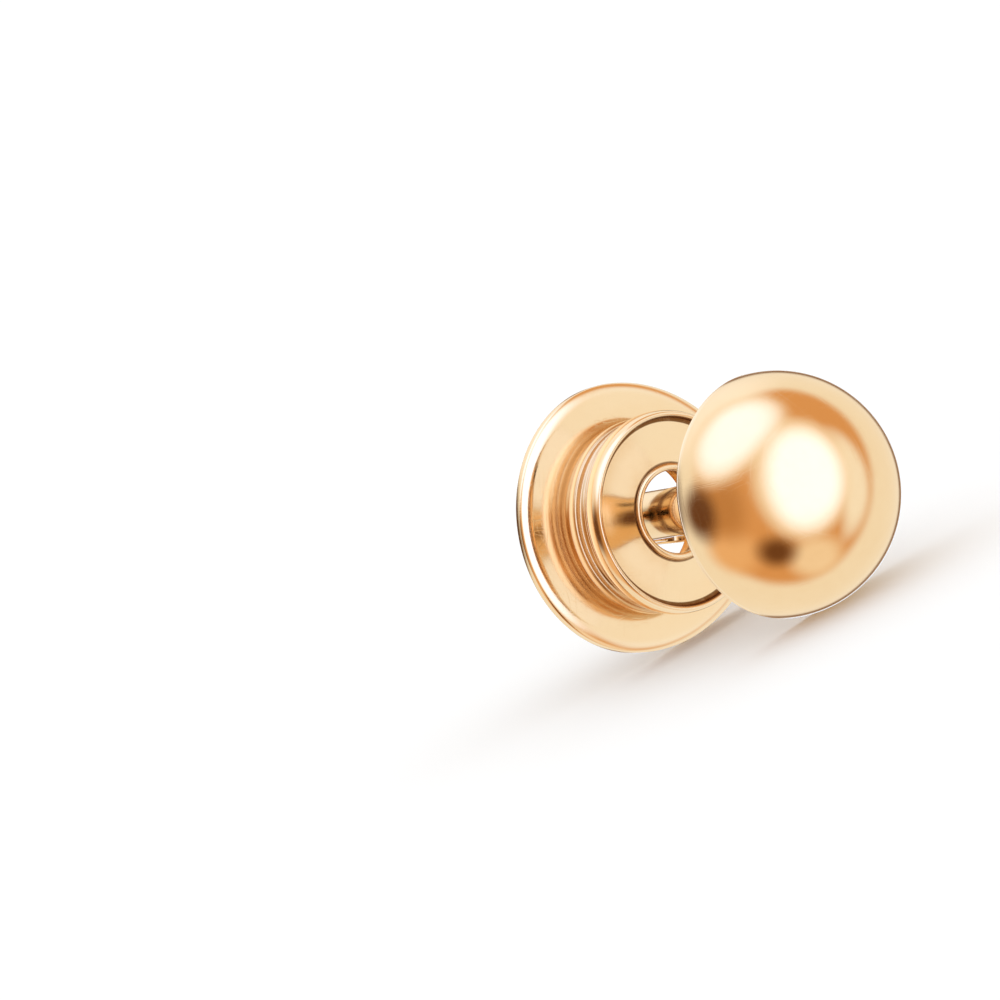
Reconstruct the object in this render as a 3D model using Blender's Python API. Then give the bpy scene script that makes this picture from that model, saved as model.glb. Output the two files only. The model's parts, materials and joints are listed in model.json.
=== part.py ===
# Half-ball stud earring with its clutch on the post, lying as it rests by itself.
# Metres, +Z up, the half-ball towards -Y. Each piece is modelled on the post's axis, along local +Y,
# and the whole is then laid on the surface z = 0.

import bpy
import bmesh
from math import acos, atan2, cos, hypot, pi, radians, sin, sqrt, tau

mm = 0.001

# Half-ball
ballRadius = 2.5 * mm
ballWall = 0.3 * mm
backWall = 0.3 * mm
rimBand = 0.09 * mm  # straight edge of the back, behind the half-ball
rimRound = 0.03 * mm
ventRadius = 0.3 * mm
ventFromPost = 0.9 * mm  # clear distance from the post to the vent hole

# Post
postRadius = 0.5 * mm
postLength = 7.6 * mm  # from the half-ball's middle plane
postTipRound = 0.3 * mm
solderFillet = 0.12 * mm

# Clutch plate: an egg of four arcs, the tip along local +X
plateThickness = 0.26 * mm
broadRadius = 2.75 * mm
broadCentre = 0.47 * mm  # behind the post, away from the tip
tipReach = 3.06 * mm  # from the post to the tip
tipRadius = 1.2 * mm
flankSpread = 1.16  # the flank's radius over the least that touches both ends
plateEdgeWidth = 0.28 * mm  # rounding of the front edge, across the face
plateEdgeDrop = 0.12 * mm  # the same, through the thickness
plateBackRound = 0.05 * mm

# Clutch collar, from its rim back to the plate
collarGap = 3.23 * mm  # from the half-ball's middle plane to the collar's rim
collarHeight = 0.98 * mm
lipRadius = 2.08 * mm
lipWidth = 0.155 * mm
lipHeight = 0.42 * mm
lipShoulder = 0.1 * mm  # straight drop inside the lip
grooveDepth = 0.1 * mm
ringHeight = 0.09 * mm
ringStand = 0.05 * mm
waistDepth = 0.12 * mm
beadRadius = 0.06 * mm
dishFillet = 0.05 * mm
dishSag = 0.02 * mm  # how far the dish sinks between the lip's foot and the hole's rim
holeRadius = 0.84 * mm
holeBackRadius = 1.15 * mm  # the hole widens towards the plate's back
holeRound = 0.05 * mm
rimBead = 0.075 * mm  # radius of the hole's raised round rim
rimRise = 0.09 * mm

# Spring wings behind the plate
wingGripGap = 0.04 * mm  # running gap between a wing and the post
wingRadius = 0.8 * mm
wingWall = 0.22 * mm
wingWidth = 1.0 * mm
wingRoot = 0.12 * mm  # how deep its foot sits in the plate
wingFoot = 0.2 * mm
wingSweep = radians(300)

# How it lies
tipDrop = radians(22.5)  # the plate's tip points this far below level

# Facets
ballSteps = 66  # a facet lies underneath, not an edge
arcSteps = 18
clutchSteps = 72
roundSteps = 4
lipSteps = 10
waistSteps = 6
dishSteps = 4
wingSteps = 26


# Values that follow
plateFront = collarGap + collarHeight
tipCentre = tipReach - tipRadius
endsApart = broadCentre + tipCentre
flankRadius = flankSpread * (endsApart + broadRadius + tipRadius) / 2
dishRadius = lipRadius - lipWidth
dishFloor = -collarHeight + lipShoulder + dishFillet


def clearScene():
    for thing in list(bpy.data.objects):
        bpy.data.objects.remove(thing, do_unlink=True)


def goldMaterial(name, colour, roughness):
    material = bpy.data.materials.new(name)
    material.use_nodes = True
    shader = material.node_tree.nodes["Principled BSDF"]
    shader.inputs["Base Color"].default_value = (*colour, 1)
    shader.inputs["Roughness"].default_value = roughness
    shader.inputs["Metallic"].default_value = 1
    return material


def lofted(name, rings, closed=False):
    """One mesh through rings of points in order; a ring of one point is a pole."""
    shape = bmesh.new()
    loops = [[shape.verts.new(point) for point in ring] for ring in rings]
    pairs = list(zip(loops, loops[1:]))
    if closed:
        pairs.append((loops[-1], loops[0]))
    for near, far in pairs:
        count = max(len(near), len(far))
        for step in range(count):
            ahead = (step + 1) % count
            corners = [near[step % len(near)], far[step % len(far)]]
            if len(far) > 1:
                corners.append(far[ahead])
            if len(near) > 1:
                corners.append(near[ahead])
            shape.faces.new(corners)
    bmesh.ops.recalc_face_normals(shape, faces=shape.faces)
    mesh = bpy.data.meshes.new(name)
    shape.to_mesh(mesh)
    shape.free()
    return bpy.data.objects.new(name, mesh)


def circle(radius, along, steps):
    """A ring of points about the post's axis, or its one point on the axis."""
    if radius == 0:
        return [(0, along, 0)]
    turns = [tau * step / steps for step in range(steps)]
    return [(radius * cos(turn), along, -radius * sin(turn)) for turn in turns]


def arc(centre, across, deep, start, end, steps):
    """Points (radius, along) of an elliptic arc; angle 0 points outwards and a quarter turn points back."""
    turns = [start + (end - start) * step / steps for step in range(steps + 1)]
    return [(centre[0] + across * cos(turn), centre[1] + deep * sin(turn)) for turn in turns]


def turned(name, profile, steps):
    """A body of revolution from (radius, along) points."""
    return lofted(name, [circle(radius, along, steps) for radius, along in profile])


def addPiece(thing, parent, material=None):
    bpy.context.scene.collection.objects.link(thing)
    thing.parent = parent
    if material:
        thing.data.materials.append(material)
        thing.data.shade_smooth()
    return thing


def addHelper(thing, parent):
    addPiece(thing, parent)
    thing.hide_render = True
    thing.display_type = "WIRE"
    return thing


def combine(thing, helper, operation):
    modifier = thing.modifiers.new(helper.name, "BOOLEAN")
    modifier.operation = operation
    modifier.solver = "EXACT"
    modifier.object = helper


def ballPoints(radius, lastAngle, steps):
    """(radius, along) points of a sphere from its front pole."""
    turns = [lastAngle * step / steps for step in range(steps + 1)]
    return [(radius * sin(turn), -radius * cos(turn)) for turn in turns]


def studBody():
    """Half-ball, flat back and post, soldered into one."""
    profile = [(0, -ballRadius)] + ballPoints(ballRadius, pi / 2, arcSteps)[1:]
    edge = (ballRadius - rimRound, rimBand - rimRound)
    profile += arc(edge, rimRound, rimRound, 0, pi / 2, roundSteps)
    foot = (postRadius + solderFillet, rimBand + solderFillet)
    profile += arc(foot, solderFillet, solderFillet, -pi / 2, -pi, roundSteps)
    end = (postRadius - postTipRound, postLength - postTipRound)
    profile += arc(end, postTipRound, postTipRound, 0, pi / 2, roundSteps)
    profile.append((0, postLength))
    return turned("stud", profile, ballSteps)


def hollowBody():
    """The air inside the half-ball."""
    inner = ballRadius - ballWall
    floor = rimBand - backWall
    profile = [(0, -inner)] + ballPoints(inner, acos(-floor / inner), arcSteps // 2)[1:]
    profile.append((0, floor))
    return turned("hollow", profile, ballSteps)


def ventBody():
    """The hole through the back that lets air out when the parts are soldered."""
    reach = backWall + ballWall
    profile = [(0, rimBand - reach), (ventRadius, rimBand - reach), (ventRadius, rimBand + reach)]
    profile.append((0, rimBand + reach))
    vent = turned("vent", profile, roundSteps * 6)
    vent.location.z = postRadius + ventFromPost + ventRadius
    return vent


def flankCentre():
    """Centre of the flank's arc on the far side, which touches both end arcs from outside."""
    toBroad = flankRadius - broadRadius
    toTip = flankRadius - tipRadius
    along = (endsApart**2 + toBroad**2 - toTip**2) / (2 * endsApart)
    return along - broadCentre, -sqrt(toBroad**2 - along**2)


def plateReach(turn, inset):
    """Distance from the post's axis to the plate's outline, drawn in by inset."""
    flank = flankCentre()
    ray = (cos(turn), abs(sin(turn)))
    ends = (((tipCentre, 0), tipRadius), ((-broadCentre, 0), broadRadius))
    meets = []
    for centre, radius in ends:
        away = (centre[0] - flank[0], centre[1] - flank[1])
        share = (radius - inset) / hypot(*away)
        meets.append(atan2(centre[1] + away[1] * share, centre[0] + away[0] * share))
    angle = atan2(ray[1], ray[0])
    centre, radius = flank, flankRadius
    if angle < meets[0]:
        centre, radius = ends[0]
    elif angle > meets[1]:
        centre, radius = ends[1]
    ahead = centre[0] * ray[0] + centre[1] * ray[1]
    aside = centre[0] * ray[1] - centre[1] * ray[0]
    return ahead + sqrt((radius - inset) ** 2 - aside**2)


def outline(inset, along):
    """A ring of points round the plate."""
    turns = [tau * step / clutchSteps for step in range(clutchSteps)]
    reaches = [(turn, plateReach(turn, inset)) for turn in turns]
    return [(reach * cos(turn), along, -reach * sin(turn)) for turn, reach in reaches]


def holePoints():
    """From the plate's back, along the hole's wall and over its raised rim."""
    back = (holeBackRadius + holeRound, plateThickness - holeRound)
    crown = (holeRadius + rimBead, dishFloor - rimRise + rimBead)
    points = arc(back, holeRound, holeRound, pi / 2, pi, roundSteps)
    return points + arc(crown, rimBead, rimBead, pi, tau, waistSteps)


def dishPoints():
    """The shallow dish and the fillet at the lip's foot."""
    inner = holeRadius + 2 * rimBead
    outer = dishRadius - dishFillet
    points = []
    for step in range(dishSteps):
        share = step / dishSteps
        points.append((inner + (outer - inner) * share, dishFloor + dishSag * sin(pi * share)))
    return points + arc((outer, dishFloor - dishFillet), dishFillet, dishFillet, pi / 2, 0, roundSteps)


def lipPoints():
    """The rolled lip, from its inner wall over the rim to its underside."""
    crown = (lipRadius - lipWidth / 2, -collarHeight + lipWidth / 2)
    points = arc(crown, lipWidth / 2, lipWidth / 2, pi, pi * 3 / 2, roundSteps)
    side = (lipRadius - lipWidth / 2, -collarHeight + lipHeight * 2 / 3)
    top = arc(side, lipWidth / 2, lipHeight * 2 / 3, -pi / 2, 0, lipSteps)
    return points + top[1:] + [(lipRadius - lipWidth / 4, -collarHeight + lipHeight)]


def waistPoints():
    """Groove, thin ring, hollow waist and the bead on the plate."""
    groove = lipRadius - grooveDepth - ringStand
    ringFront = -collarHeight + lipHeight + ringStand
    ringBack = ringFront + ringHeight
    points = [(groove, ringFront - ringStand / 2)]
    points.append((groove + ringStand / 2, ringFront))
    points += arc((groove + ringStand / 2, (ringFront + ringBack) / 2), ringStand, ringHeight / 2,
                  -pi / 3, pi / 3, roundSteps)
    points.append((groove, ringBack))
    bend = (groove, (ringBack - 2 * beadRadius) / 2)
    reach = -bend[1] - 2 * beadRadius
    points += arc(bend, -waistDepth, reach, -pi / 3, pi / 3, waistSteps)
    bead = (groove, -beadRadius)
    points += arc(bead, beadRadius, beadRadius, -pi / 2, 0, roundSteps)
    points.append((groove + beadRadius, 0))
    return points


def clutchBody():
    """Plate and collar as one closed skin round the hole."""
    profile = holePoints() + dishPoints() + lipPoints() + waistPoints()
    rings = [circle(radius, along, clutchSteps) for radius, along in profile]
    for step in range(roundSteps + 1):
        turn = pi / 2 * step / roundSteps
        inset = plateEdgeWidth * (1 - sin(turn))
        rings.append(outline(inset, plateEdgeDrop * (1 - cos(turn))))
    rings.append(outline(0, plateThickness - plateBackRound))
    rings.append(outline(plateBackRound, plateThickness))
    return lofted("clutch", rings, closed=True)


def wingBody(name, side):
    """A strip rolled outwards and back until its end leans on the post; side is 1 or -1."""
    centre = (postRadius + wingGripGap + wingRadius, plateThickness - wingRoot + wingRadius)
    middle = wingRadius - wingWall / 2
    path = [(centre[0] - wingFoot, centre[1] - middle, 0, -1)]
    for step in range(wingSteps + 1):
        turn = wingSweep * step / wingSteps - pi / 2
        path.append((centre[0] + middle * cos(turn), centre[1] + middle * sin(turn), cos(turn), sin(turn)))
    rings = []
    for across, along, outX, outY in path:
        half = wingWall / 2
        outer = (side * (across + half * outX), along + half * outY)
        inner = (side * (across - half * outX), along - half * outY)
        low, high = -wingWidth / 2, wingWidth / 2
        rings.append([(*outer, low), (*outer, high), (*inner, high), (*inner, low)])
    wing = lofted(name, rings)
    shape = bmesh.new()
    shape.from_mesh(wing.data)
    bmesh.ops.holes_fill(shape, edges=shape.edges)
    bmesh.ops.recalc_face_normals(shape, faces=shape.faces)
    shape.to_mesh(wing.data)
    shape.free()
    return wing


def restTilt():
    """The tilt at which the half-ball and the plate's lower edge both touch the surface."""
    flank = flankCentre()
    down = pi / 2 - tipDrop
    support = flankRadius + flank[0] * cos(down) + flank[1] * sin(down)
    back = plateFront + plateEdgeDrop
    return acos(ballRadius / hypot(support, back)) - atan2(back, support)


def layDown(root, pieces):
    """Moves the whole so that its bounding box stands on the origin."""
    bpy.context.view_layer.update()
    graph = bpy.context.evaluated_depsgraph_get()
    points = []
    for piece in pieces:
        solid = piece.evaluated_get(graph)
        points += [solid.matrix_world @ vertex.co for vertex in solid.data.vertices]
    for axis in (0, 1):
        values = [point[axis] for point in points]
        root.location[axis] -= (min(values) + max(values)) / 2
    root.location.z -= min(point.z for point in points)


def makeStud(root):
    stud = addPiece(studBody(), root, goldMaterial("stud", (0.86, 0.55, 0.29), 0.12))
    for cutter in (hollowBody(), ventBody()):
        combine(stud, addHelper(cutter, stud), "DIFFERENCE")
    return stud


def makeClutch(root):
    """The clutch's origin is on the post's axis, along which it slides."""
    clutch = addPiece(clutchBody(), root, goldMaterial("clutch", (0.87, 0.58, 0.32), 0.14))
    clutch.location.y = plateFront
    clutch.rotation_euler.y = tipDrop
    for name, side in (("tip_wing", 1), ("broad_wing", -1)):
        combine(clutch, addHelper(wingBody(name, side), clutch), "UNION")
    return clutch


def main():
    clearScene()
    root = bpy.data.objects.new("earring", None)
    bpy.context.scene.collection.objects.link(root)
    root.rotation_euler.x = restTilt()
    layDown(root, [makeStud(root), makeClutch(root)])


main()
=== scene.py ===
# Half-ball stud earring in polished gold with its clutch on the post, lying on a white table.
# Lengths in the dictionaries are in millimetres; the scene itself is in metres.
import json
from math import acos, atan2, cos, hypot, pi, radians, sin, sqrt, tan, tau

import bmesh
import bpy
from mathutils import Matrix, Vector


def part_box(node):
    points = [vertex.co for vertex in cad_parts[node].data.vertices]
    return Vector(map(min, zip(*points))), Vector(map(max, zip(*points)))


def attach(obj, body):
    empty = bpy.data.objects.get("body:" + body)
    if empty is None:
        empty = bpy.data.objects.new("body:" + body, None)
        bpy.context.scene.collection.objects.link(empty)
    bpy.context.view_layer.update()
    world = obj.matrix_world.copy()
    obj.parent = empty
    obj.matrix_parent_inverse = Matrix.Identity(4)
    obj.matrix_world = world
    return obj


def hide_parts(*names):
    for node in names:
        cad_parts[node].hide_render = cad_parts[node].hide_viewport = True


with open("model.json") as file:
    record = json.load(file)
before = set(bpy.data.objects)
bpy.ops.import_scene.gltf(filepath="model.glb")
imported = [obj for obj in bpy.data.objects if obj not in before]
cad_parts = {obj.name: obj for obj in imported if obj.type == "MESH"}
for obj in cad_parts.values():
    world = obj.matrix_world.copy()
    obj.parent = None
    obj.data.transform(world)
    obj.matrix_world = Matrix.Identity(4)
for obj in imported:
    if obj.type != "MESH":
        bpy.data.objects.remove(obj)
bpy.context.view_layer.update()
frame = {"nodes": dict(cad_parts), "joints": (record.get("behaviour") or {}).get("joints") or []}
mm = 0.001
print("frame loaded:", ", ".join(frame["nodes"]))

# The post's axis runs along local +Y from the middle of the half-ball, which touches the table.
ball = {
    "radius": 2.5, "wall": 0.3, "back": 0.3,
    "rimBand": 0.09, "rimRound": 0.03, "seamDepth": 0.008, "seamAt": 0.03, "seamWidth": 0.014,
    "ventRadius": 0.3, "ventFromPost": 0.9, "ventRound": 0.02,
    "steps": 256, "arcSteps": 96, "hollowSteps": 96, "ventSteps": 48,
}
axis = Vector(frame["joints"][0]["axis"])
level = Vector((1, 0, 0))
upright = level.cross(axis)
low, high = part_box("stud")
ballCentre = Vector(((low.x + high.x) / 2, low.y + ball["radius"] * mm, ball["radius"] * mm))
laid = Matrix((level, axis, upright)).transposed().to_4x4()
laid.translation = ballCentre


# Meshes

def lofted(name, rings, closed=False, capped=False):
    # one skin through rings of (x, along, z) points; a ring of one point is a pole
    shape = bmesh.new()
    loops = [[shape.verts.new(Vector(point) * mm) for point in ring] for ring in rings]
    pairs = list(zip(loops, loops[1:]))
    if closed:
        pairs.append((loops[-1], loops[0]))
    for near, far in pairs:
        count = max(len(near), len(far))
        for step in range(count):
            ahead = (step + 1) % count
            corners = [near[step % len(near)], far[step % len(far)]]
            if len(far) > 1:
                corners.append(far[ahead])
            if len(near) > 1:
                corners.append(near[ahead])
            shape.faces.new(corners)
    if capped:
        shape.faces.new(loops[0])
        shape.faces.new(loops[-1])
    bmesh.ops.recalc_face_normals(shape, faces=shape.faces)
    mesh = bpy.data.meshes.new(name)
    shape.to_mesh(mesh)
    shape.free()
    thing = bpy.data.objects.new(name, mesh)
    bpy.context.scene.collection.objects.link(thing)
    return thing


def circle(radius, along, steps):
    if radius == 0:
        return [(0, along, 0)]
    turns = [tau * step / steps for step in range(steps)]
    return [(radius * cos(turn), along, -radius * sin(turn)) for turn in turns]


def arc(centre, across, deep, start, end, steps):
    # (radius, along) points; angle 0 points outwards and a quarter turn points back
    turns = [start + (end - start) * step / steps for step in range(steps + 1)]
    return [(centre[0] + across * cos(turn), centre[1] + deep * sin(turn)) for turn in turns]


def turned(name, profile, steps):
    return lofted(name, [circle(radius, along, steps) for radius, along in profile])


def cutAway(thing, cutters):
    for cutter in cutters:
        cut = thing.modifiers.new(cutter.name, "BOOLEAN")
        cut.operation = "DIFFERENCE"
        cut.solver = "EXACT"
        cut.object = cutter
    bpy.context.view_layer.update()
    graph = bpy.context.evaluated_depsgraph_get()
    mesh = bpy.data.meshes.new_from_object(thing.evaluated_get(graph))
    thing.modifiers.clear()
    thing.data = mesh
    for cutter in cutters:
        bpy.data.objects.remove(cutter, do_unlink=True)


def smoothSkin(thing, sharpest=radians(32)):
    # smooth shading that stops at edges sharper than this
    shape = bmesh.new()
    shape.from_mesh(thing.data)
    for face in shape.faces:
        face.smooth = True
    for edge in shape.edges:
        edge.smooth = len(edge.link_faces) == 2 and edge.calc_face_angle(0) < sharpest
    shape.to_mesh(thing.data)
    shape.free()


def finishPiece(thing, material, body, place):
    thing.data.transform(place)
    thing.data.materials.clear()
    thing.data.materials.append(material)
    smoothSkin(thing)
    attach(thing, body)
    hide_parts(body)
    return thing


# Shader graphs

class Wire:
    # a node's output; maths on it adds Math nodes
    def __init__(self, sheet, socket):
        self.sheet = sheet
        self.socket = socket

    def __add__(self, other):
        return self.sheet.math("ADD", self, other)

    def __radd__(self, other):
        return self.sheet.math("ADD", other, self)

    def __sub__(self, other):
        return self.sheet.math("SUBTRACT", self, other)

    def __rsub__(self, other):
        return self.sheet.math("SUBTRACT", other, self)

    def __mul__(self, other):
        return self.sheet.math("MULTIPLY", self, other)

    def __rmul__(self, other):
        return self.sheet.math("MULTIPLY", other, self)

    def __truediv__(self, other):
        return self.sheet.math("DIVIDE", self, other)

    def __rtruediv__(self, other):
        return self.sheet.math("DIVIDE", other, self)

    def __pow__(self, other):
        return self.sheet.math("POWER", self, other)

    def __abs__(self):
        return self.sheet.math("ABSOLUTE", self)


class NodeSheet:
    # the nodes of one material or world
    def __init__(self, owner):
        owner.use_nodes = True
        self.tree = owner.node_tree
        self.tree.nodes.clear()

    def node(self, kind, settings=None, sockets=None, output=0):
        made = self.tree.nodes.new(kind)
        for name, value in (settings or {}).items():
            setattr(made, name, value)
        for name, value in (sockets or {}).items():
            if isinstance(value, Wire):
                self.tree.links.new(value.socket, made.inputs[name])
            else:
                made.inputs[name].default_value = value
        return Wire(self, made.outputs[output]) if made.outputs else made

    def math(self, operation, *values):
        return self.node("ShaderNodeMath", {"operation": operation}, dict(enumerate(values)))

    def vector(self, operation, *values, output=0):
        return self.node("ShaderNodeVectorMath", {"operation": operation}, dict(enumerate(values)), output)

    def dot(self, first, second):
        return self.vector("DOT_PRODUCT", first, second, output="Value")

    def fade(self, value, start, end):
        # 0 at start, 1 at end, with an eased slope between
        sockets = {"Value": value, "From Min": start, "From Max": end}
        return self.node("ShaderNodeMapRange", {"interpolation_type": "SMOOTHSTEP"}, sockets)

    def mixColour(self, share, first, second):
        # a Mix node's colour sockets are 6 and 7, and its colour result is 2
        return self.node("ShaderNodeMix", {"data_type": "RGBA"}, {0: share, 6: first, 7: second}, 2)

    def noise(self, place, scale, detail=2.0, roughness=0.5, distortion=0.0):
        sockets = {"Vector": place, "Scale": scale, "Detail": detail, "Roughness": roughness,
                   "Distortion": distortion}
        return self.node("ShaderNodeTexNoise", {}, sockets)

    def placed(self, place, scale, turn=(0, 0, 0)):
        return self.node("ShaderNodeMapping", {}, {"Vector": place, "Rotation": turn, "Scale": scale})

    def hairlines(self, place, scale, turn, width, seedShift):
        # thin level lines of a noise that is drawn out one way
        drawn = self.placed(place, scale, turn)
        moved = self.vector("ADD", drawn, seedShift)
        field = self.noise(moved, 1.0, 1.0, 0.4, 0.2)
        return 1 - self.fade(abs(field - 0.5), 0.0, width)


# Gold: colour, polish, buffing marks, hairlines and a low wave in the surface

goldLook = {
    "colour": (0.930, 0.730, 0.490, 1), "deepColour": (0.895, 0.655, 0.395, 1),
    "wornColour": (0.960, 0.800, 0.600, 1), "solderColour": (0.930, 0.780, 0.560, 1),
    # the next colour is painted shade for corners and recesses, not a colour the gold has
    "recessShadeColour": (0.22, 0.10, 0.035, 1),
    "polish": 0.085, "polishSpread": 0.07, "hairlineRoughness": 0.05, "recessRoughness": 0.16,
    "waveDistance": 0.0016, "waveScale": 0.9,
    "cloudScale": 0.55, "mottleScale": 5.0, "tintShare": 0.3, "wornShare": 0.8, "solderShare": 0.85,
    "hairlineDistance": 0.00035, "buffDistance": 0.0002, "pitDistance": 0.0012,
}


def goldMaterial(name, laidAt, lines="buffed", recessShade=None, worn=None, solder=None):
    # place is measured in millimetres from the piece's own axis; the masks take (sheet, radius, along)
    material = bpy.data.materials.new(name)
    sheet = NodeSheet(material)
    look = goldLook
    modelled = sheet.node("ShaderNodeTexCoord", output="Object")
    place = sheet.node("ShaderNodeMapping", {"vector_type": "TEXTURE"}, {
        "Vector": modelled, "Location": laidAt.to_translation(), "Rotation": laidAt.to_euler(),
        "Scale": (mm, mm, mm)})
    across = sheet.node("ShaderNodeSeparateXYZ", {}, {0: place}, "X")
    along = sheet.node("ShaderNodeSeparateXYZ", {}, {0: place}, "Y")
    aside = sheet.node("ShaderNodeSeparateXYZ", {}, {0: place}, "Z")
    radius = (across * across + aside * aside) ** 0.5

    cloud = sheet.noise(place, look["cloudScale"], 3.0, 0.55)
    mottle = sheet.noise(place, look["mottleScale"], 4.0, 0.6)
    tint = sheet.fade(cloud * 0.7 + mottle * 0.3, 0.35, 0.68)
    gold = sheet.mixColour(tint * look["tintShare"], look["colour"], look["deepColour"])

    hair = sheet.hairlines(place, (1.6, 0.25, 5.0), (0.3, 0.5, 0.2), 0.012, (3.1, 0, 0))
    hair = hair + sheet.hairlines(place, (4.5, 0.4, 0.9), (0.9, -0.4, 1.1), 0.010, (0, 7.7, 0))
    hair = hair + sheet.hairlines(place, (0.5, 3.8, 1.4), (-0.5, 1.3, 0.4), 0.008, (0, 0, 5.3))
    patchy = sheet.fade(sheet.noise(place, 0.8, 2.0), 0.42, 0.62)
    hair = hair * (0.25 + patchy * 0.75)

    if lines == "turned":  # rings left by the lathe
        grain = sheet.noise(sheet.node("ShaderNodeCombineXYZ", {}, {0: radius * 46, 1: along * 46}), 1.0, 2.0)
    elif lines == "drawn":  # lines along the wire
        grain = sheet.noise(sheet.placed(place, (34, 0.7, 34)), 1.0, 2.0)
    elif lines == "rolled":  # lines along the rolled strip
        grain = sheet.noise(sheet.placed(place, (1.2, 1.2, 42)), 1.0, 2.0)
    else:  # a soft wheel's short marks
        grain = sheet.noise(sheet.placed(place, (26, 5, 26), (0.4, 0.2, 0.6)), 1.0, 2.0, 0.5, 0.4)

    rough = look["polish"] + mottle * look["polishSpread"] * cloud
    rough = rough + hair * look["hairlineRoughness"] * 0.5 + grain * 0.02
    height = sheet.noise(place, look["waveScale"], 1.0, 0.3) * look["waveDistance"]
    height = height - hair * look["hairlineDistance"] + grain * look["buffDistance"]

    if worn:
        edge = worn(sheet, radius, along) * (0.55 + mottle * 0.6)
        gold = sheet.mixColour(edge * look["wornShare"], gold, look["wornColour"])
        rough = rough + edge * 0.025
    if solder:
        seam = solder(sheet, radius, along)
        gold = sheet.mixColour(seam * look["solderShare"], gold, look["solderColour"])
        pits = sheet.fade(sheet.noise(place, 16.0, 3.0), 0.52, 0.7) * seam
        rough = rough + seam * 0.07 + pits * 0.1
        height = height - pits * look["pitDistance"]
    # painted shade: the recess mask darkens the gold towards the recess shade colour, and the metal there is
    # also rougher
    if recessShade:
        hollow = recessShade(sheet, radius, along)
        shadeAndDullness = hollow * (0.55 + mottle * 0.5)
        gold = sheet.mixColour(shadeAndDullness, gold, look["recessShadeColour"])
        rough = rough + shadeAndDullness * look["recessRoughness"]

    bump = sheet.node("ShaderNodeBump", {}, {"Strength": 1.0, "Distance": mm, "Height": height})
    sockets = {"Base Color": gold, "Metallic": 1.0, "Roughness": rough, "Normal": bump}
    surface = sheet.node("ShaderNodeBsdfPrincipled", {}, sockets)
    sheet.node("ShaderNodeOutputMaterial", {}, {"Surface": surface})
    return material


def band(sheet, value, start, end, soft):
    # 1 between start and end, fading over soft on both sides
    return sheet.fade(value, start - soft, start) * (1 - sheet.fade(value, end, end + soft))


# Half-ball with its flat back and vent hole

def spherePoints(radius, lastAngle, steps):
    turns = [lastAngle * step / steps for step in range(steps + 1)]
    return [(radius * sin(turn), -radius * cos(turn)) for turn in turns]


def makeBall():
    radius, edge = ball["radius"], ball["rimRound"]
    profile = [(0, -radius)] + spherePoints(radius, pi / 2, ball["arcSteps"])[1:]
    seam = ball["seamAt"]
    for place, depth in ((-0.5, 0), (-0.25, 0.6), (0, 1), (0.25, 0.6), (0.5, 0)):
        profile.append((radius - ball["seamDepth"] * depth, seam + ball["seamWidth"] * place))
    profile += arc((radius - edge, ball["rimBand"] - edge), edge, edge, 0, pi / 2, 8)
    profile += [(radius * share, ball["rimBand"]) for share in (0.9, 0.7, 0.5, 0.35, 0.2)]
    profile.append((0, ball["rimBand"]))
    thing = turned("half_ball", profile, ball["steps"])
    floor = ball["rimBand"] - ball["back"]
    inner = radius - ball["wall"]
    inside = [(0, -inner)] + spherePoints(inner, acos(-floor / inner), 24)[1:] + [(0, floor)]
    hollow = turned("hollow", inside, ball["hollowSteps"])
    reach = ball["back"] + ball["wall"]
    vent, lift = ball["ventRadius"], ball["rimBand"]
    hole = [(0, lift - reach), (vent, lift - reach), (vent, lift - ball["ventRound"])]
    hole += [(vent + ball["ventRound"] * share, lift - ball["ventRound"] * (1 - share ** 2))
             for share in (0.4, 0.75, 1)]
    hole += [(vent + ball["ventRound"], lift + reach), (0, lift + reach)]
    vented = turned("vent", hole, ball["ventSteps"])
    vented.location.z = (post["radius"] + ball["ventFromPost"] + vent) * mm
    cutAway(thing, [hollow, vented])

    def wornRim(sheet, radiusWire, along):
        return band(sheet, along, -0.03, 0.2, 0.03) * sheet.fade(radiusWire, radius - 0.12, radius - 0.02)

    def solderRing(sheet, radiusWire, along):
        onBack = sheet.fade(along, 0.02, 0.07)
        byPost = 1 - sheet.fade(radiusWire, post["radius"] + 0.14, post["radius"] + 0.34)
        return onBack * byPost

    gold = goldMaterial("ball_gold", laid, "buffed", worn=wornRim, solder=solderRing)
    return finishPiece(thing, gold, "stud", laid)


post = {
    "radius": 0.5, "length": 7.6, "tipRound": 0.3, "fillet": 0.12, "sunk": 0.08,
    "steps": 96,
}


def makePost():
    radius, face = post["radius"], ball["rimBand"]
    fillet, tip = post["fillet"], post["tipRound"]
    profile = [(0, face - post["sunk"]), (radius + fillet, face - post["sunk"])]
    profile += arc((radius + fillet, face + fillet), fillet, fillet, -pi / 2, -pi, 12)
    profile += [(radius, face + fillet + share * 3) for share in (0.3, 1, 2)]
    profile += arc((radius - tip, post["length"] - tip), tip, tip, 0, pi / 2, 16)
    profile.append((0, post["length"]))
    thing = turned("post", profile, post["steps"])

    def solderFoot(sheet, radiusWire, along):
        return 1 - sheet.fade(along, face + fillet * 0.7, face + fillet * 2.4)

    def wornTip(sheet, radiusWire, along):
        return sheet.fade(along, post["length"] - tip * 1.3, post["length"] - tip * 0.4)

    gold = goldMaterial("post_gold", laid, "drawn", worn=wornTip, solder=solderFoot)
    return finishPiece(thing, gold, "stud", laid)


# Clutch: egg-shaped plate with a raised collar; local y = 0 is the plate's front

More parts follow.
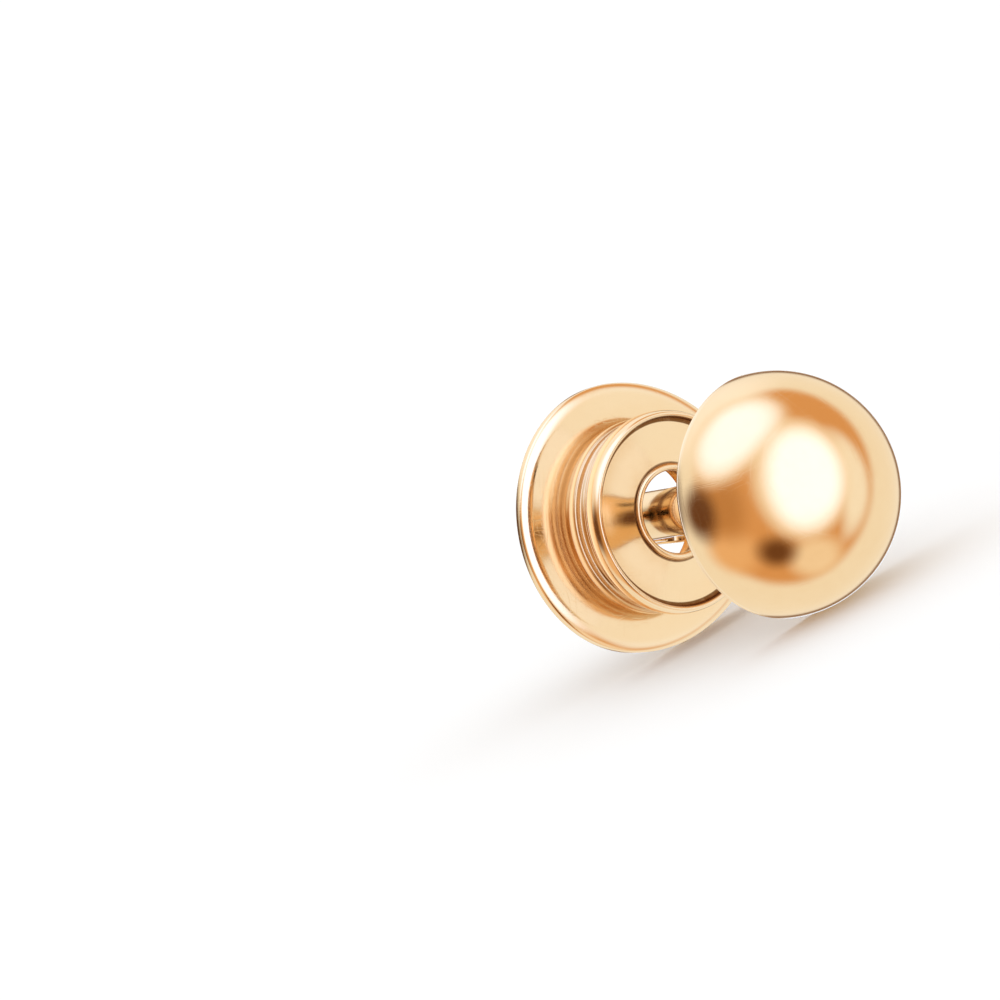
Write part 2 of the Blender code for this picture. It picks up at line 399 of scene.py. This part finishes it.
clutch = {
    "gap": 3.23, "tipDrop": 22.5,
    "thickness": 0.26, "broadRadius": 2.75, "broadCentre": 0.47,
    "tipReach": 3.06, "tipRadius": 1.2, "flankSpread": 1.16,
    "edgeWidth": 0.28, "edgeDrop": 0.12, "backRound": 0.05,
    "height": 0.98, "lipRadius": 2.08, "lipWidth": 0.155, "lipHeight": 0.42, "lipShoulder": 0.1,
    "grooveDepth": 0.1, "ringHeight": 0.09, "ringStand": 0.05, "waistDepth": 0.12, "bead": 0.06,
    "dishFillet": 0.05, "dishSag": 0.02,
    "holeRadius": 0.84, "holeBackRadius": 1.15, "holeRound": 0.05, "rimBead": 0.075, "rimRise": 0.09,
    "steps": 288, "dishSteps": 24, "edgeSteps": 14, "backSteps": 6,
}
tipCentre = clutch["tipReach"] - clutch["tipRadius"]
endsApart = clutch["broadCentre"] + tipCentre
flankRadius = clutch["flankSpread"] * (endsApart + clutch["broadRadius"] + clutch["tipRadius"]) / 2
plateFront = clutch["gap"] + clutch["height"]
tipTurn = Matrix.Rotation(radians(clutch["tipDrop"]), 4, "Y")
clutchPlace = laid @ Matrix.Translation((0, plateFront * mm, 0)) @ tipTurn


def flankCentre():
    toBroad = flankRadius - clutch["broadRadius"]
    toTip = flankRadius - clutch["tipRadius"]
    along = (endsApart**2 + toBroad**2 - toTip**2) / (2 * endsApart)
    return along - clutch["broadCentre"], -sqrt(toBroad**2 - along**2)


def plateReach(turn, inset):
    # distance from the post's axis to the egg's outline, drawn in by inset
    flank = flankCentre()
    ray = (cos(turn), abs(sin(turn)))
    ends = (((tipCentre, 0), clutch["tipRadius"]), ((-clutch["broadCentre"], 0), clutch["broadRadius"]))
    meets = []
    for centre, radius in ends:
        away = (centre[0] - flank[0], centre[1] - flank[1])
        share = (radius - inset) / hypot(*away)
        meets.append(atan2(centre[1] + away[1] * share, centre[0] + away[0] * share))
    angle = atan2(ray[1], ray[0])
    centre, radius = flank, flankRadius
    if angle < meets[0]:
        centre, radius = ends[0]
    elif angle > meets[1]:
        centre, radius = ends[1]
    ahead = centre[0] * ray[0] + centre[1] * ray[1]
    aside = centre[0] * ray[1] - centre[1] * ray[0]
    return ahead + sqrt((radius - inset) ** 2 - aside**2)


def eggRing(inset, along):
    turns = [tau * step / clutch["steps"] for step in range(clutch["steps"])]
    reaches = [(turn, plateReach(turn, inset)) for turn in turns]
    return [(reach * cos(turn), along, -reach * sin(turn)) for turn, reach in reaches]


def collarPoints():
    # (radius, along) from the plate's back through the hole, over the rim, dish and lip to the plate's face
    c = clutch
    dishFloor = -c["height"] + c["lipShoulder"] + c["dishFillet"]
    dishRadius = c["lipRadius"] - c["lipWidth"]
    back = (c["holeBackRadius"] + c["holeRound"], c["thickness"] - c["holeRound"])
    crown = (c["holeRadius"] + c["rimBead"], dishFloor - c["rimRise"] + c["rimBead"])
    points = arc(back, c["holeRound"], c["holeRound"], pi / 2, pi, 8)
    points += arc(crown, c["rimBead"], c["rimBead"], pi, tau, 24)
    inner, outer = c["holeRadius"] + 2 * c["rimBead"], dishRadius - c["dishFillet"]
    for step in range(c["dishSteps"]):
        share = step / c["dishSteps"]
        points.append((inner + (outer - inner) * share, dishFloor + c["dishSag"] * sin(pi * share)))
    points += arc((outer, dishFloor - c["dishFillet"]), c["dishFillet"], c["dishFillet"], pi / 2, 0, 10)

    half = c["lipWidth"] / 2
    points += arc((c["lipRadius"] - half, -c["height"] + half), half, half, pi, pi * 3 / 2, 12)
    side = (c["lipRadius"] - half, -c["height"] + c["lipHeight"] * 2 / 3)
    points += arc(side, half, c["lipHeight"] * 2 / 3, -pi / 2, 0, 24)[1:]
    points += arc((side[0], side[1]), half, c["lipHeight"] / 3, 0, pi * 0.38, 10)[1:]

    groove = c["lipRadius"] - c["grooveDepth"] - c["ringStand"]
    ringFront = -c["height"] + c["lipHeight"] + c["ringStand"]
    ringBack = ringFront + c["ringHeight"]
    points.append((groove, ringFront - c["ringStand"] / 2))
    points.append((groove + c["ringStand"] / 2, ringFront))
    middle = (groove + c["ringStand"] / 2, (ringFront + ringBack) / 2)
    points += arc(middle, c["ringStand"], c["ringHeight"] / 2, -pi / 2, pi / 2, 12)
    points.append((groove, ringBack))
    bend = (groove, (ringBack - 2 * c["bead"]) / 2)
    reach = -bend[1] - 2 * c["bead"]
    points += arc(bend, -c["waistDepth"], reach, -pi / 3, pi / 3, 16)
    points += arc((groove, -c["bead"]), c["bead"], c["bead"], -pi / 2, 0, 10)
    points.append((groove + c["bead"], 0))
    return points


def makeClutchPlate():
    c = clutch
    rings = [circle(radius, along, c["steps"]) for radius, along in collarPoints()]
    for step in range(c["edgeSteps"] + 1):
        turn = pi / 2 * step / c["edgeSteps"]
        rings.append(eggRing(c["edgeWidth"] * (1 - sin(turn)), c["edgeDrop"] * (1 - cos(turn))))
    for step in range(c["backSteps"] + 1):
        turn = pi / 2 * step / c["backSteps"]
        inset = c["backRound"] * (1 - cos(turn))
        rings.append(eggRing(inset, c["thickness"] - c["backRound"] * (1 - sin(turn))))
    thing = lofted("clutch_plate", rings, closed=True)

    def cornerShade(sheet, radius, along):
        # painted shade: darkens the waist under the lip, the corner between dish and lip, and the foot of the
        # hole's rim
        lipFoot = -c["height"] + c["lipHeight"]
        dishFloor = -c["height"] + c["lipShoulder"] + c["dishFillet"]
        waist = band(sheet, along, lipFoot - 0.02, -0.05, 0.04) * sheet.fade(radius, 1.5, 1.7)
        dishEdge = c["lipRadius"] - c["lipWidth"]
        corner = band(sheet, radius, dishEdge - 0.07, dishEdge + 0.01, 0.025)
        corner = corner * band(sheet, along, dishFloor - 0.12, dishFloor + 0.02, 0.03)
        rimFoot = c["holeRadius"] + 2 * c["rimBead"]
        foot = band(sheet, radius, rimFoot - 0.03, rimFoot + 0.02, 0.03)
        foot = foot * sheet.fade(along, dishFloor - 0.05, dishFloor - 0.01)
        return waist * 0.35 + corner * 1.3 + foot * 1.1

    def wornEdges(sheet, radius, along):
        lip = band(sheet, along, -c["height"] - 0.1, -c["height"] + 0.05, 0.04)
        plateEdge = band(sheet, along, 0.015, 0.12, 0.02) * sheet.fade(radius, 2.2, 2.4)
        return lip + plateEdge

    gold = goldMaterial("clutch_plate_gold", clutchPlace, "turned", recessShade=cornerShade, worn=wornEdges)
    return finishPiece(thing, gold, "clutch", clutchPlace)


wing = {
    "gripGap": 0.04, "radius": 0.8, "wall": 0.22, "width": 1.0, "root": 0.12, "foot": 0.2,
    "sweep": 300, "corner": 0.05, "steps": 96,
}


def stripSection(halfWall, halfWidth, corner):
    # a rectangle with round corners, as (across the wall, across the strip)
    points = []
    for quarter, (wallSide, widthSide) in enumerate(((1, 1), (-1, 1), (-1, -1), (1, -1))):
        for step in range(6):
            turn = pi / 2 * (quarter + step / 5)
            points.append((wallSide * (halfWall - corner) + corner * cos(turn),
                           widthSide * (halfWidth - corner) + corner * sin(turn)))
    return points


def makeWing(name, side):
    w = wing
    centre = (post["radius"] + w["gripGap"] + w["radius"], clutch["thickness"] - w["root"] + w["radius"])
    middle = w["radius"] - w["wall"] / 2
    path = [(centre[0] - w["foot"], centre[1] - middle, 0, -1, 1)]
    for step in range(w["steps"] + 1):
        turn = radians(w["sweep"]) * step / w["steps"] - pi / 2
        path.append((centre[0] + middle * cos(turn), centre[1] + middle * sin(turn), cos(turn), sin(turn), 1))
    lastX, lastY, outX, outY, _ = path[-1]
    for share in (0.4, 0.75, 0.95):  # the end is filed round
        ahead = (-outY * w["wall"] / 2 * share, outX * w["wall"] / 2 * share)
        path.append((lastX + ahead[0], lastY + ahead[1], outX, outY, sqrt(1 - share**2)))
    rings = []
    for across, along, outX, outY, size in path:
        ring = []
        for wall, width in stripSection(w["wall"] / 2, w["width"] / 2, w["corner"]):
            ring.append((side * (across + wall * size * outX), along + wall * size * outY, width))
        rings.append(ring)
    thing = lofted(name, rings, capped=True)

    def wornGrip(sheet, radius, along):
        return 1 - sheet.fade(radius, post["radius"] + 0.05, post["radius"] + 0.18)

    gold = goldMaterial(name + "_gold", clutchPlace, "rolled", worn=wornGrip)
    return finishPiece(thing, gold, "clutch", clutchPlace)


makeBall()
makePost()
print("stud made")
makeClutchPlate()
makeWing("tip_wing", 1)
makeWing("broad_wing", -1)
print("clutch made")

# Camera: turned round the earring to the photograph's side and tilted as the photograph shows it

view = {
    "azimuth": -36.05, "elevation": 9.0, "roll": 25.2, "distance": 300.0,
    "frameWidth": 20.06, "ballAcross": 0.2771, "ballUp": 0.0056,  # from the frame's middle, in frame widths
}


def makeCamera():
    turn, rise, roll = radians(view["azimuth"]), radians(view["elevation"]), radians(view["roll"])
    back = Vector((sin(turn) * cos(rise), -cos(turn) * cos(rise), sin(rise)))
    right = Vector((cos(turn), sin(turn), 0))
    up = back.cross(right)
    rolledRight = right * cos(roll) - up * sin(roll)
    rolledUp = right * sin(roll) + up * cos(roll)
    width = view["frameWidth"] * mm
    aim = ballCentre - rolledRight * view["ballAcross"] * width - rolledUp * view["ballUp"] * width
    data = bpy.data.cameras.new("camera")
    data.lens = data.sensor_width * view["distance"] / view["frameWidth"]
    data.clip_start, data.clip_end = 0.01, 5
    camera = bpy.data.objects.new("camera", data)
    bpy.context.scene.collection.objects.link(camera)
    camera.matrix_world = Matrix((rolledRight, rolledUp, back)).transposed().to_4x4()
    camera.location = aim + back * view["distance"] * mm
    bpy.context.scene.camera = camera
    return rolledRight, rolledUp, back


cameraAxes = makeCamera()

# Studio: what the polished metal reflects. Cards are placed by degrees right and up of the camera.

studio = {
    "wall": (0.98, 0.93, 0.81, 1), "room": (0.76, 0.385, 0.145, 1), "dark": (0.24, 0.11, 0.04, 1),
    "roomCentre": (7.5, 12.7), "roomReach": 89.5, "roomTaller": 0.25, "roomSoft": 8,
    "darkRing": (14, 25), "darkRingSoft": 5, "tableLight": 1.12,
}
# light boxes and flags, one over the other, by degrees from the camera: name, right, up, half width,
# half height, softness as a share, colour
cards = [
    ("lowGlow", -62, -50, 22, 18, 0.6, (0.90, 0.54, 0.26)),
    ("lowWall", 58, -54, 22, 18, 0.5, (0.98, 0.80, 0.58)),
    ("leftShade", -52, -12, 19, 24, 0.7, (0.56, 0.26, 0.08)),
    ("leftFlag", -80, -14, 17, 19, 0.6, (0.15, 0.055, 0.015)),
    ("lowFlag", -1, -55, 15, 14, 0.7, (0.17, 0.065, 0.02)),
    ("sideWall", 78, 9, 15, 38, 0.5, (1.02, 0.99, 0.90)),
    ("edgeFlag", -122, -6, 20, 21, 0.35, (0.10, 0.04, 0.012)),
    ("backWall", 180, 0, 9, 9, 0.4, (1.15, 1.42, 2.0)),
    ("rimGlow", -122, 47, 34, 26, 0.6, (1.12, 1.10, 1.08)),
    ("fillGlow", -66, 50, 36, 42, 0.35, (1.02, 0.94, 0.80)),
    ("keyGlow", 24, 16, 46, 56, 0.35, (1.02, 0.92, 0.76)),
    ("fillBox", -66, 51, 27, 34, 0.45, (1.34, 1.44, 1.76)),
    ("keyBox", 26, 15, 35, 45, 0.4, (1.45, 1.54, 1.90)),
]


def makeStudio():
    world = bpy.data.worlds.new("studio")
    bpy.context.scene.world = world
    sheet = NodeSheet(world)
    look = sheet.node("ShaderNodeTexCoord", output="Generated")
    rightOf, upOf, backOf = cameraAxes

    def towards(across, rise):
        a, e = radians(across), radians(rise)
        return (rightOf * sin(a) * cos(e) + upOf * sin(e) + backOf * cos(a) * cos(e)).normalized()

    upward = sheet.dot(look, tuple(upOf))
    inside = sheet.dot(look, tuple(towards(*studio["roomCentre"]))) + upward * upward * studio["roomTaller"]
    reach, soft = radians(studio["roomReach"]), radians(studio["roomSoft"])
    inRoom = sheet.fade(inside, cos(reach + soft), cos(reach - soft))
    seen = sheet.mixColour(inRoom, studio["wall"], studio["room"])
    for name, across, rise, halfWidth, halfHeight, soft, colour in cards:
        centre = towards(across, rise)
        sideways = upOf.cross(centre).normalized()
        upwards = centre.cross(sideways)
        ahead = sheet.dot(look, tuple(centre))
        aside = sheet.dot(look, tuple(sideways)) / ahead / tan(radians(halfWidth))
        above = sheet.dot(look, tuple(upwards)) / ahead / tan(radians(halfHeight))
        away = (aside * aside + above * above) ** 0.5
        share = sheet.fade(away, 1 + soft, 1 - soft) * sheet.fade(ahead, 0.02, 0.1)
        seen = sheet.mixColour(share, seen, colour + (1,))
    behind = sheet.dot(look, tuple(-backOf))
    (inner, outer), soft = studio["darkRing"], studio["darkRingSoft"]
    ring = sheet.fade(behind, cos(radians(outer + soft)), cos(radians(outer - soft)))
    ring = ring * sheet.fade(behind, cos(radians(inner - soft)), cos(radians(inner + soft)))
    seen = sheet.mixColour(ring, seen, studio["dark"])
    reflected = sheet.node("ShaderNodeLightPath", output="Is Glossy Ray")
    light = sheet.mixColour(reflected, (studio["tableLight"],) * 3 + (1,), seen)
    background = sheet.node("ShaderNodeBackground", {}, {"Color": light, "Strength": 1.0})
    sheet.node("ShaderNodeOutputWorld", {}, {"Surface": background})


table = {"reach": 0.6, "colour": (0.93, 0.93, 0.93, 1)}


def makeTable():
    reach = table["reach"]
    shape = bmesh.new()
    bmesh.ops.create_grid(shape, x_segments=8, y_segments=8, size=reach)
    mesh = bpy.data.meshes.new("table")
    shape.to_mesh(mesh)
    shape.free()
    thing = bpy.data.objects.new("table", mesh)
    bpy.context.scene.collection.objects.link(thing)
    material = bpy.data.materials.new("table_white")
    sheet = NodeSheet(material)
    surface = sheet.node("ShaderNodeBsdfDiffuse", {}, {"Color": table["colour"]})
    sheet.node("ShaderNodeOutputMaterial", {}, {"Surface": surface})
    mesh.materials.append(material)
    thing.visible_glossy = False


makeStudio()
makeTable()
bpy.context.scene.view_settings.view_transform = "Standard"
print("studio made")
